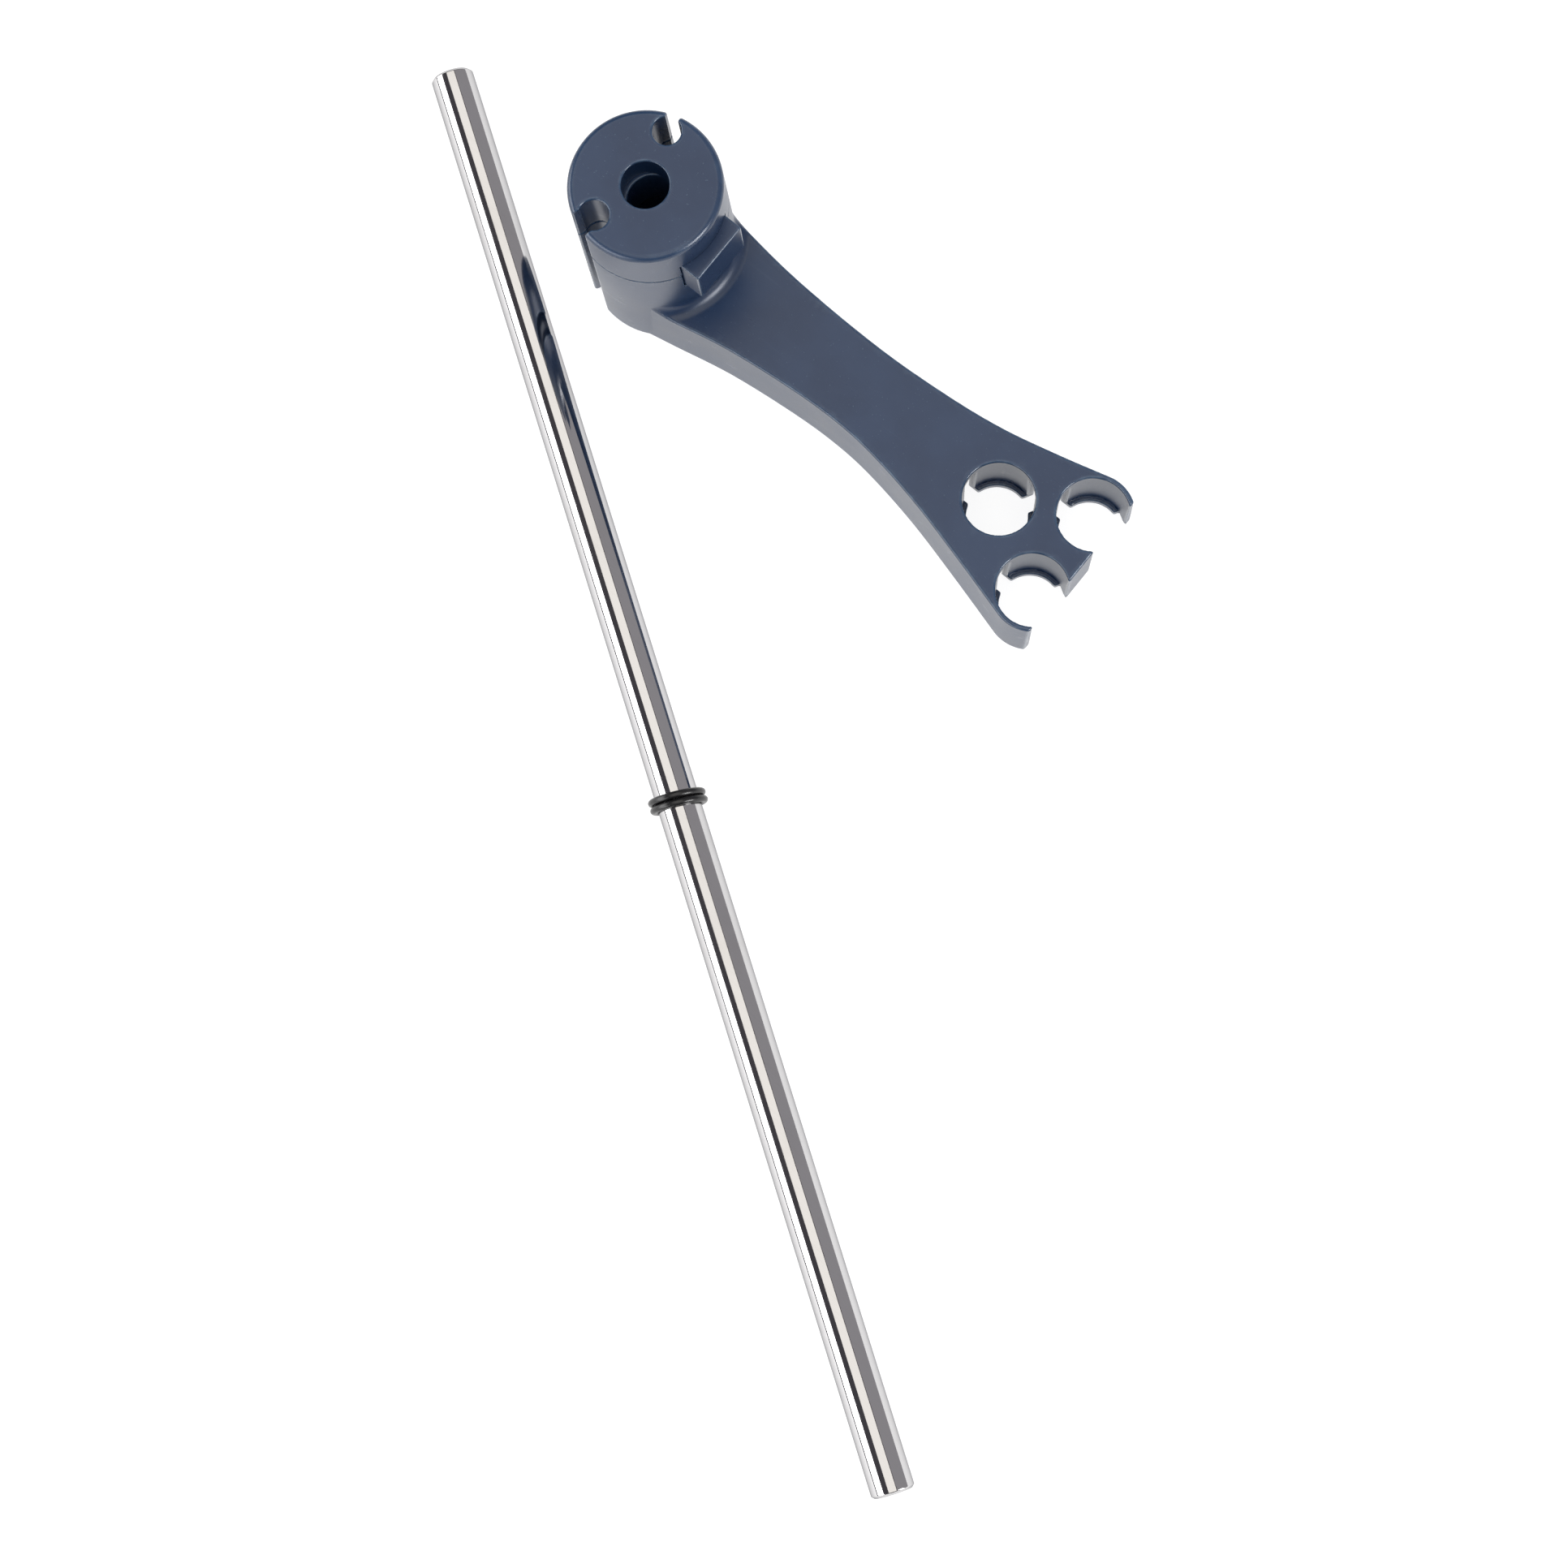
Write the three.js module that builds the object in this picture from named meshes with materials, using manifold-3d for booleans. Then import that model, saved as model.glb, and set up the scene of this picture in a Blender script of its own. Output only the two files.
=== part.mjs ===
// Electrode holder arm with its steel support rod, laid down side by side.
// Millimetres, +Z up. The arm points along +X from its hub; the rod lies beside it.
import * as THREE from 'three';
import { mergeVertices } from 'three/addons/utils/BufferGeometryUtils.js';
import Module from 'manifold-3d';

const wasm = await Module();
wasm.setup();

// Driving dimensions
const hubRadius = 16.2;           // at the top of the hub
const hubFootRadius = 16.85;      // the hub widens a little towards its foot
const hubHeight = 56.5;
const seamHeight = 41.35;         // joint between the arm body and the hub cap
const seamGap = 0.3;
const boreRadius = 5.0;           // runs on the 9.5 mm rod
const armThickness = 20;
const armEnd = 116.4;             // flat front of the flared end
const pocketEnd = 103;            // the arm is hollow from the hub to here
const skin = 2.6;                 // top skin of the hollow arm
const wall = 2.0;                 // side walls of the hollow arm
const ribThickness = 1.6;
const ribRise = 3;                // ribs stop this far above the underside
const crossRibs = [34, 55, 76];   // the spine rib ends on the last one
const hubRibs = [0, 60, -60, 180];
const socketRadius = 7.87;
const lobeRadius = 9.65;          // outside of the wall round a socket
const outerSocketX = 111.3;
const outerSocketY = 10.4;
const innerSocket = [93.45, 0.55];
const ledgeRadius = 6.75;         // electrode caps rest on this ledge
const ledgeThickness = 2.5;
const ledgeEnd = 4.4;             // the open clips have no ledge further forward of their centre
const socketSlotWidth = 3.6;      // slots that split each socket into three fingers
const rootFillet = 3;
const capEdge = 1.4;               // rounding of the cap's top edge
const cableSeatOffset = 12.25;    // from the hub axis
const cableSeats = [              // angle from the arm in degrees, radius, width of the mouth
  [108, 3.0, 2.8],
  [-110.5, 3.2, 5.0],
];
const rodRadius = 4.7625;
const rodLength = 324;
const rodChamfer = 0.6;
const rodAngle = -33.5;           // degrees from the arm's axis
const rodStart = [-63.0, 2.15];   // upper end of the rod, seen from the hub axis
const ringSection = 0.8;          // radius of the O-ring cord
const ringFit = 0.04;             // keeps the ring's facets clear of the rod
const ringPlace = 170.75;         // middle of the pair of O-rings, from the rod's upper end
const ringSpacing = 1.7;
const round = 48;                 // facets on the large round walls
const fine = 24;                  // facets on the small round walls

// Release button: a slide that the rod passes through, caught between body and cap
const buttonHalfWidth = 7.0;
const buttonBottom = 34;
const buttonTop = 47;
const buttonFace = 19.1;
const slideHalfWidth = 7.1;
const slideBottom = 32.8;
const slideTop = 48.2;
const slideShoulder = 11.2;
const slideNeck = -6.6;           // behind this the slide narrows to its spring boss
const slideBack = -9.8;
const bossHalfWidth = 4.2;
const slideTravel = 2.6;
const slideHoleRadius = 5.5;
const slideHoleOffset = 1.3;
const clearance = 0.3;
const springHoleRadius = 3.0;
const springHeight = 40.5;
const springCoilRadius = 2.3;
const springWire = 0.3;
const springTurns = 5;
const springInnerEnd = -6.4;
const springOuterEnd = -14.0;

// Cap screws, driven up through the hub from below
const screwPlaces = [[9.0, 9.6], [9.0, -9.6], [-11.1, 6.5], [-11.1, -6.5]];
const screwShank = 1.1;
const screwHead = 2.0;
const screwHeadHeight = 1.5;
const screwHeadEdge = 0.5;
const screwHeadSeat = 28;
const screwTip = 48;
const screwPoint = 1.1;           // height of the blunt tip

const deg = THREE.MathUtils.degToRad;

// Solids

function closed(geometry) {
  geometry.deleteAttribute('normal');
  geometry.deleteAttribute('uv');
  return mergeVertices(geometry, 1e-4);
}

function solid(geometry) {
  const g = closed(geometry);
  return new wasm.Manifold(new wasm.Mesh({
    numProp: 3,
    vertProperties: new Float32Array(g.attributes.position.array),
    triVerts: new Uint32Array(g.index.array),
  }));
}

function box(low, high) {
  const g = new THREE.BoxGeometry(high[0] - low[0], high[1] - low[1], high[2] - low[2]);
  g.translate((low[0] + high[0]) / 2, (low[1] + high[1]) / 2, (low[2] + high[2]) / 2);
  return solid(g);
}

function cone(x, y, footRadius, topRadius, bottom, top, facets = round) {
  const g = new THREE.CylinderGeometry(topRadius, footRadius, top - bottom, facets);
  g.rotateX(Math.PI / 2);
  g.translate(x, y, (bottom + top) / 2);
  return solid(g);
}

function post(x, y, radius, bottom, top, facets = round) {
  return cone(x, y, radius, radius, bottom, top, facets);
}

function barAlongX(from, to, z, radius, facets = fine) {
  const g = new THREE.CylinderGeometry(radius, radius, to - from, facets);
  g.rotateZ(Math.PI / 2);
  g.translate((from + to) / 2, 0, z);
  return solid(g);
}

function slab(shape, bottom, top) {
  const g = new THREE.ExtrudeGeometry(shape, {
    depth: top - bottom, bevelEnabled: false, curveSegments: 12, steps: 1,
  });
  g.translate(0, 0, bottom);
  return solid(g);
}

function turned(profile, facets) {
  const points = profile.map(([r, z]) => new THREE.Vector2(r, z));
  const g = new THREE.LatheGeometry(points, facets);
  g.rotateX(Math.PI / 2);
  return g;
}

function spoke(centre, angle, from, to, width, bottom, top) {
  const g = new THREE.BoxGeometry(to - from, width, top - bottom);
  g.translate((from + to) / 2, 0, (bottom + top) / 2);
  g.rotateZ(deg(angle));
  g.translate(centre[0], centre[1], 0);
  return solid(g);
}

function toGeometry(body) {
  const mesh = body.getMesh();
  const g = new THREE.BufferGeometry();
  g.setAttribute('position', new THREE.BufferAttribute(new Float32Array(mesh.vertProperties), 3));
  g.setIndex(new THREE.BufferAttribute(new Uint32Array(mesh.triVerts), 1));
  return g;
}

function named(name, geometry, material) {
  const mesh = new THREE.Mesh(geometry, material);
  mesh.name = name;
  return mesh;
}

// Materials

function finish(color, roughness, metalness) {
  return new THREE.MeshStandardMaterial({ color, roughness, metalness });
}

function plastic() {
  return finish(0x434d68, 0.45, 0);
}

function steel() {
  return finish(0xb0b2b5, 0.35, 1);
}

function rubber() {
  return finish(0x151517, 0.5, 0);
}

// Arm outline

const socketCentres = [
  innerSocket,
  [outerSocketX, outerSocketY],
  [outerSocketX, -outerSocketY],
];

// distance of each side from the hub's axis at a few stations along the arm; the curve through
// them ends on the lobe round an outer socket. The right side is waisted more than the left.
const leftSide = [[6, 15.2], [14, 13.6], [30, 11.8], [52, 11.1], [70, 12.0], [84, 13.7], [97, 16.6]];
const rightSide = [[6, 15.2], [14, 13.6], [28, 10.8], [45, 9], [57, 8.7], [67, 9.6], [80, 12], [94, 15.6]];
const lobeStart = 106;            // degrees on the lobe where the side meets it

function lobePoint(angle) {
  return new THREE.Vector2(outerSocketX + lobeRadius * Math.cos(deg(angle)),
    outerSocketY + lobeRadius * Math.sin(deg(angle)));
}

function sideCurve(stations, inset, last) {
  const points = stations.map(([x, y]) => new THREE.Vector2(x, y - inset));
  points.push(lobePoint(lobeStart).sub(new THREE.Vector2(0, inset)));
  return new THREE.SplineCurve(points).getPoints(40).filter((p) => p.x <= last);
}

function halfOutline(stations) {
  const lobeEnd = THREE.MathUtils.radToDeg(Math.acos((armEnd - outerSocketX) / lobeRadius));
  const lobe = [];
  for (let i = 1; i <= 8; i += 1) {
    lobe.push(lobePoint(lobeStart + (lobeEnd - lobeStart) * i / 8));
  }
  return sideCurve(stations, 0, armEnd).concat(lobe);
}

// a left half followed by a right half, turned over and taken backwards
function outline(left, right) {
  const turned = right.map((p) => new THREE.Vector2(p.x, -p.y)).reverse();
  return new THREE.Shape(left.concat(turned));
}

const armOutline = outline(halfOutline(leftSide), halfOutline(rightSide));
const pocketOutline = outline(sideCurve(leftSide, wall, pocketEnd), sideCurve(rightSide, wall, pocketEnd));

// Arm body

function seatCentre(angle) {
  return [cableSeatOffset * Math.cos(deg(angle)), cableSeatOffset * Math.sin(deg(angle))];
}

function cableCuts(bottom, top) {
  const cuts = cableSeats.map(([angle, radius, mouth]) => {
    const seat = post(...seatCentre(angle), radius, bottom, top, fine);
    return seat.add(spoke([0, 0], angle, cableSeatOffset, hubFootRadius + 2, mouth, bottom, top));
  });
  return cuts[0].add(cuts[1]);
}

function hubRadiusAt(z) {
  return hubFootRadius + (hubRadius - hubFootRadius) * z / hubHeight;
}

// room for the slide, seen in both halves of the hub
function slideRoom() {
  const low = slideBottom - clearance;
  const high = slideTop + clearance;
  const main = box([slideNeck - slideTravel - clearance, -slideHalfWidth - clearance, low],
    [slideShoulder + clearance, slideHalfWidth + clearance, high]);
  const tail = box([slideBack - slideTravel - clearance, -bossHalfWidth - clearance, low],
    [0, bossHalfWidth + clearance, high]);
  const window = box([0, -buttonHalfWidth - clearance, buttonBottom - clearance],
    [hubRadius + 4, buttonHalfWidth + clearance, buttonTop + clearance]);
  const pocket = barAlongX(springOuterEnd - clearance, 0, springHeight, springHoleRadius);
  return main.add(tail).add(window).add(pocket);
}

// hollow of the arm between its skin, side walls, hub, socket tubes and ribs
function armHollow() {
  const top = armThickness - skin;
  let hollow = slab(pocketOutline, -1, top);
  hollow = hollow.subtract(post(0, 0, hubFootRadius + 0.5, -2, hubHeight));
  for (const [x, y] of socketCentres) {
    hollow = hollow.subtract(post(x, y, lobeRadius, -2, armThickness));
  }
  const half = ribThickness / 2;
  const spineEnd = crossRibs[crossRibs.length - 1];
  hollow = hollow.subtract(box([0, -half, ribRise], [spineEnd, half, armThickness]));
  for (const x of crossRibs) {
    hollow = hollow.subtract(box([x - half, -armThickness, ribRise],
      [x + half, armThickness, armThickness]));
  }
  return hollow;
}

// cored ring under the hub, with ribs and with walls left round the seats and screw wells
function hubHollow() {
  const top = slideBottom - clearance - skin;
  const outer = hubRadius - wall;
  let ring = post(0, 0, outer, -1, top).subtract(post(0, 0, boreRadius + wall, -2, top + 1));
  for (const [angle, radius] of cableSeats) {
    ring = ring.subtract(post(...seatCentre(angle), radius + ribThickness, -2, top + 1, fine));
  }
  for (const [x, y] of screwPlaces) {
    ring = ring.subtract(post(x, y, screwHead + clearance + ribThickness, -2, top + 1, fine));
  }
  for (const angle of hubRibs) {
    ring = ring.subtract(spoke([0, 0], angle, 0, hubRadius, ribThickness, ribRise, top + 1));
  }
  return ring;
}

function rootFilletRing() {
  const outer = hubRadius + rootFillet;
  const profile = [[hubRadius - 1, armThickness - 1], [outer, armThickness - 1]];
  for (let i = 0; i <= 6; i += 1) {
    const a = deg(90 * i / 6);
    profile.push([outer - rootFillet * Math.sin(a), armThickness + rootFillet * (1 - Math.cos(a))]);
  }
  profile.push([hubRadius - 1, armThickness + rootFillet], profile[0]);
  return solid(turned(profile, round)).intersect(slab(armOutline, 0, armThickness + rootFillet + 1));
}

function socketBore([x, y]) {
  return post(x, y, socketRadius, ledgeThickness, armThickness + 1)
    .add(post(x, y, ledgeRadius, -1, armThickness, round));
}

// slots between the fingers, up to the skin: the ones on an outer wall only cut the ledge
function socketSlots(index) {
  const centre = socketCentres[index];
  const start = ledgeRadius - 2;
  const through = (angle) => spoke(centre, angle, start, lobeRadius + 0.5, socketSlotWidth,
    -1, armThickness - skin);
  const ledgeOnly = (angle) => spoke(centre, angle, start, socketRadius, socketSlotWidth,
    -1, ledgeThickness + 0.01);
  if (index === 0) {
    return through(180).add(through(60)).add(through(300));
  }
  const [x, y] = centre;
  const ahead = box([x + ledgeEnd, y - lobeRadius, -1], [x + lobeRadius, y + lobeRadius, ledgeThickness]);
  const front = ahead.intersect(post(x, y, socketRadius, -1, armThickness));
  return through(180).add(ledgeOnly(60)).add(ledgeOnly(300)).add(front);
}

function screwHole([x, y]) {
  return post(x, y, screwShank + clearance, screwHeadSeat - 1, screwTip + clearance, fine)
    .add(post(x, y, screwHead + clearance, -1, screwHeadSeat, fine));
}

function armBody() {
  const top = seamHeight - seamGap / 2;
  let body = slab(armOutline, 0, armThickness).add(rootFilletRing());
  body = body.subtract(armHollow());
  body = body.add(cone(0, 0, hubFootRadius, hubRadiusAt(top), 0, top)).subtract(hubHollow());
  socketCentres.forEach((centre, index) => {
    body = body.subtract(socketBore(centre)).subtract(socketSlots(index));
  });
  body = body.subtract(cableCuts(-1, hubHeight)).subtract(post(0, 0, boreRadius, -1, hubHeight));
  body = body.subtract(slideRoom());
  for (const place of screwPlaces) {
    body = body.subtract(screwHole(place));
  }
  return body;
}

// Hub cap

function hubCap() {
  const bottom = seamHeight + seamGap / 2;
  const profile = [[0, bottom], [hubRadiusAt(bottom), bottom]];
  for (let i = 0; i <= 4; i += 1) {
    const a = deg(90 * i / 4);
    profile.push([
      hubRadius - capEdge + capEdge * Math.cos(a),
      hubHeight - capEdge + capEdge * Math.sin(a),
    ]);
  }
  profile.push([0, hubHeight]);
  let cap = solid(turned(profile, round));
  cap = cap.subtract(cableCuts(0, hubHeight + 1)).subtract(post(0, 0, boreRadius, 0, hubHeight + 1));
  cap = cap.subtract(slideRoom());
  for (const place of screwPlaces) {
    cap = cap.subtract(screwHole(place));
  }
  return cap;
}

// Release button, one moulding with its slide

function releaseButton() {
  const block = box([slideShoulder - 1, -buttonHalfWidth, buttonBottom],
    [buttonFace, buttonHalfWidth, buttonTop]);
  const plate = box([slideNeck, -slideHalfWidth, slideBottom],
    [slideShoulder, slideHalfWidth, slideTop]);
  const boss = box([slideBack, -bossHalfWidth, slideBottom], [0, bossHalfWidth, slideTop]);
  return block.add(plate).add(boss)
    .subtract(post(slideHoleOffset, 0, slideHoleRadius, slideBottom - 1, slideTop + 1))
    .subtract(barAlongX(slideBack - 1, springInnerEnd, springHeight, springHoleRadius));
}

class Helix extends THREE.Curve {
  getPoint(t, target = new THREE.Vector3()) {
    const angle = t * springTurns * 2 * Math.PI;
    const from = springOuterEnd + springWire;
    const to = springInnerEnd - springWire - clearance;
    return target.set(from + (to - from) * t, springCoilRadius * Math.cos(angle),
      springHeight + springCoilRadius * Math.sin(angle));
  }
}

function springCoil() {
  const section = new THREE.Shape();
  section.absarc(0, 0, springWire, 0, 2 * Math.PI);
  return new THREE.ExtrudeGeometry(section, {
    steps: springTurns * 14, curveSegments: 4, extrudePath: new Helix(),
  });
}

// Cap screw: pan head below, shank up to a blunt tip

function capScrew() {
  const head = screwHeadSeat - screwHeadHeight;
  const seat = screwHeadSeat - 0.05;
  const tip = screwTip - 0.1;
  return turned([
    [0, head],
    [screwHead - screwHeadEdge, head],
    [screwHead, head + screwHeadEdge],
    [screwHead, seat],
    [screwShank, seat],
    [screwShank, tip - screwPoint],
    [screwShank / 3, tip],
    [0, tip],
  ], 16);
}

// Rod and O-rings, made along +X from the rod's upper end

function rodBar() {
  const end = rodRadius - rodChamfer;
  const g = turned([
    [0, 0],
    [end, 0],
    [rodRadius, rodChamfer],
    [rodRadius, rodLength - rodChamfer],
    [end, rodLength],
    [0, rodLength],
  ], round);
  return g.rotateY(Math.PI / 2);
}

function oRing(place) {
  const g = new THREE.TorusGeometry(rodRadius + ringSection + ringFit, ringSection, 10, 36);
  return g.rotateY(Math.PI / 2).translate(place, 0, 0);
}

// Assembly

const arm = new THREE.Group();
arm.add(named('arm_body', toGeometry(armBody()), plastic()));
arm.add(named('hub_cap', toGeometry(hubCap()), plastic()));
arm.add(named('release_button', toGeometry(releaseButton()), plastic()));
arm.add(named('lock_spring', closed(springCoil()), steel()));
screwPlaces.forEach(([x, y], index) => {
  const screw = named(`cap_screw_${index + 1}`, closed(capScrew()), steel());
  screw.position.set(x, y, 0);
  arm.add(screw);
});

const rod = new THREE.Group();
rod.position.set(...rodStart, rodRadius + 2 * ringSection + ringFit);
rod.rotation.z = deg(rodAngle);
rod.add(named('rod', closed(rodBar()), finish(0xc9cbcc, 0.12, 1)));
rod.add(named('o_ring_upper', closed(oRing(ringPlace - ringSpacing / 2)), rubber()));
rod.add(named('o_ring_lower', closed(oRing(ringPlace + ringSpacing / 2)), rubber()));

const holder = new THREE.Group();
holder.add(arm, rod);
holder.updateMatrixWorld(true);

// the origin is the middle of the underside of the whole layout
const extent = new THREE.Box3().setFromObject(holder, true);
holder.position.set(-(extent.min.x + extent.max.x) / 2, -(extent.min.y + extent.max.y) / 2, -extent.min.z);
holder.updateMatrixWorld(true);

export default holder;
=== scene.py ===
import bmesh
import bpy
import numpy as np
from mathutils import Matrix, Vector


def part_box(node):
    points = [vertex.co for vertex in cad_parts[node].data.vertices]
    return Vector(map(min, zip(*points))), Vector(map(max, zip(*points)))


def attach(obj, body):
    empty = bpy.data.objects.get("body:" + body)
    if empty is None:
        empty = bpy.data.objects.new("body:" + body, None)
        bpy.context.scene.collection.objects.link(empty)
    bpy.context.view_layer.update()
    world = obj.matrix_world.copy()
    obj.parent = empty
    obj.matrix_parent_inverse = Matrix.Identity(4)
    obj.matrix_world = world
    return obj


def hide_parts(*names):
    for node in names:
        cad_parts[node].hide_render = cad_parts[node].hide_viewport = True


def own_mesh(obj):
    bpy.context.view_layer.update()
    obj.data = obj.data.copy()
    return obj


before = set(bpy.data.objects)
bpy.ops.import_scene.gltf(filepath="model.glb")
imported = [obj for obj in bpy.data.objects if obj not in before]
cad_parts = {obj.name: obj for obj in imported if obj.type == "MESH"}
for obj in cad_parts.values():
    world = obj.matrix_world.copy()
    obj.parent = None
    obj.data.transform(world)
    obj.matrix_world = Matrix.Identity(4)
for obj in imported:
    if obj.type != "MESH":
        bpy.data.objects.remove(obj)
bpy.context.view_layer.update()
print("frame loaded:", len(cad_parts), "nodes")

mm = 0.001


def middle(node):
    low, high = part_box(node)
    return np.array((low + high) / 2)


footRadius = 16.85                            # of the hub, in millimetres
# foot of the hub's axis, the arm's own zero: one foot radius in from the end of the arm
hubAxis = np.array((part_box("arm_body")[0].x + footRadius * mm, middle("hub_cap")[1], 0))
rodMiddle = middle("rod")
turn = np.radians(-33.5)                      # rod's direction, from the arm's
along = np.array((np.cos(turn), np.sin(turn), 0))
across = np.array((-np.sin(turn), np.cos(turn), 0))
up = np.array((0, 0, 1.0))


# meshes from arrays

def makePiece(name, points, faces, finish, body, nodes, hand=None):
    mesh = bpy.data.meshes.new(name)
    mesh.vertices.add(len(points))
    mesh.vertices.foreach_set("co", np.asarray(points, np.float32).ravel())
    mesh.loops.add(faces.size)
    mesh.loops.foreach_set("vertex_index", faces.astype(np.int32).ravel())
    mesh.polygons.add(len(faces))
    mesh.polygons.foreach_set("loop_start", np.arange(0, faces.size, faces.shape[1], dtype=np.int32))
    mesh.update(calc_edges=True)
    mesh.validate()
    mesh.polygons.foreach_set("use_smooth", np.ones(len(mesh.polygons), bool))
    piece = bpy.data.objects.new(name, mesh)
    bpy.context.scene.collection.objects.link(piece)
    if hand:
        hand(piece)
    piece.data.materials.append(finish)
    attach(piece, body)
    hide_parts(*nodes)
    print("made", name, len(piece.data.polygons), "faces")
    return piece


def wrap(points):
    # Faces of a grid of points, rows along and columns around: each one joins a point to its next both ways,
    # and the last column to the first.
    rows, columns = points.shape[:2]
    index = np.arange(rows * columns).reshape(rows, columns)
    beside = np.roll(index, -1, 1)
    return np.stack((index[:-1], beside[:-1], beside[1:], index[1:]), -1).reshape(-1, 4)


def weld(piece):
    # Merges the repeated points at poles and seams, and turns every face outwards.
    b = bmesh.new()
    b.from_mesh(piece.data)
    bmesh.ops.remove_doubles(b, verts=b.verts, dist=1e-7)
    bmesh.ops.recalc_face_normals(b, faces=b.faces)
    b.to_mesh(piece.data)
    b.free()


def creaseAt(angle):
    def work(piece):
        weld(piece)
        piece.data.shade_smooth()
        b = bmesh.new()
        b.from_mesh(piece.data)
        for e in b.edges:
            e.smooth = len(e.link_faces) != 2 or e.calc_face_angle(0) < np.radians(angle)
        b.to_mesh(piece.data)
        b.free()
    return work


# solid shapes as distance fields: a field is below zero inside, and its value is the distance in mm

def rounded(a, b, r):
    # Where both fields are inside. The edge between them is a quarter round: the corner's distance from r
    # inside each.
    return np.minimum(np.maximum(a, b), -r) + np.hypot(np.maximum(a + r, 0), np.maximum(b + r, 0))


def joined(a, b, r):
    # Where either field is inside, with a fillet of radius r in the corner between them.
    return np.maximum(np.minimum(a, b), r) - np.hypot(np.maximum(r - a, 0), np.maximum(r - b, 0))


def carve(body, hole, r):
    return rounded(body, -hole, r)


def tube(x, y, centre, radius):
    return np.hypot(x - centre[0], y - centre[1]) - radius


def block(x, y, z, low, high):
    sides = [np.maximum(low[i] - v, v - high[i]) for i, v in enumerate((x, y, z))]
    return np.maximum(np.maximum(sides[0], sides[1]), sides[2])


def spoke(x, y, centre, degrees, start, end, width):
    # A straight strip from start to end out from a centre: how far a point is past its ends and its sides.
    c, s = np.cos(np.radians(degrees)), np.sin(np.radians(degrees))
    out = (x - centre[0]) * c + (y - centre[1]) * s
    beside = np.abs((y - centre[1]) * c - (x - centre[0]) * s) - width / 2
    return np.maximum(np.maximum(start - out, out - end), beside)


def slope(field, p, reach=0.02):
    # The field's steepest direction, from its values a little to either side of each point.
    sides = []
    for i in range(3):
        step = np.zeros(3)
        step[i] = reach
        sides.append((field(*(p + step).T) - field(*(p - step).T)) / (2 * reach))
    return np.stack(sides, -1)


def settle(field, p, reach, times=3):
    # Moves points onto the surface, along the slope, by the distance that the field gives.
    for _ in range(times):
        g = slope(field, p)
        move = g * (field(*p.T) / np.maximum((g * g).sum(1), 0.2))[:, None]
        p = p - np.clip(move, -reach, reach)
    return p


def skinOf(field, low, high, step):
    # Surface of a field: each grid cell that it crosses gets one point, at the mean of its crossings of the
    # cell's edges, and each grid edge that it crosses gets one face, between the four cells round that
    # edge.
    counts = np.ceil((np.array(high) - low) / step).astype(int) + 4
    start = np.array(low) - 1.5 * step
    marks = [start[i] + step * np.arange(counts[i]) for i in range(3)]
    x, y, z = np.meshgrid(*marks, indexing="ij", sparse=True)
    value = np.array(np.broadcast_to(field(x, y, z), counts), np.float32)
    inside = value < 0
    corners = np.array([(i, j, k) for i in (0, 1) for j in (0, 1) for k in (0, 1)])
    n = counts - 1
    filled = sum(inside[i:i + n[0], j:j + n[1], k:k + n[2]].astype(np.uint8) for i, j, k in corners)
    crossed = (filled > 0) & (filled < 8)
    cells = np.argwhere(crossed)
    number = np.full(n, -1, np.int64)
    number[crossed] = np.arange(len(cells))
    held = np.stack([value[tuple((cells + c).T)] for c in corners], -1)
    place, weight = np.zeros((len(cells), 3)), np.zeros(len(cells))
    for a in range(8):
        for b in range(a + 1, 8):
            if np.abs(corners[a] - corners[b]).sum() == 1:
                cross = (held[:, a] < 0) != (held[:, b] < 0)
                t = np.where(cross, held[:, a] / np.where(cross, held[:, a] - held[:, b], 1), 0)
                point = corners[a] + t[:, None] * (corners[b] - corners[a])
                place += point * cross[:, None]
                weight += cross
    points = start + step * (cells + place / weight[:, None])
    faces = []
    for axis in range(3):
        b, c = (axis + 1) % 3, (axis + 2) % 3
        first, second = np.take(inside, range(n[axis]), axis), np.take(inside, range(1, n[axis] + 1), axis)
        at = np.argwhere(first != second)
        at = at[(at[:, b] > 0) & (at[:, c] > 0)]
        leaving = first[tuple(at.T)]
        ring = []
        for ob, oc in ((1, 1), (0, 1), (0, 0), (1, 0)):
            q = at.copy()
            q[:, b] -= ob
            q[:, c] -= oc
            ring.append(number[tuple(q.T)])
        ring = np.stack(ring, -1)
        faces.append(np.where(leaving[:, None], ring, ring[:, ::-1]))
    return settle(field, points, step * 0.6), np.concatenate(faces)


def thin(piece, most):
    # Takes out the points that flat areas don't need, until that many triangles are left.
    triangles = sum(len(p.vertices) - 2 for p in piece.data.polygons)
    if triangles > most:
        modifier = piece.modifiers.new("thin", "DECIMATE")
        modifier.ratio = most / triangles
        graph = bpy.context.evaluated_depsgraph_get()
        fewer = bpy.data.meshes.new_from_object(piece.evaluated_get(graph))
        piece.modifiers.clear()
        name, old = piece.data.name, piece.data
        piece.data = fewer
        bpy.data.meshes.remove(old)
        fewer.name = name
    return triangles


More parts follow.
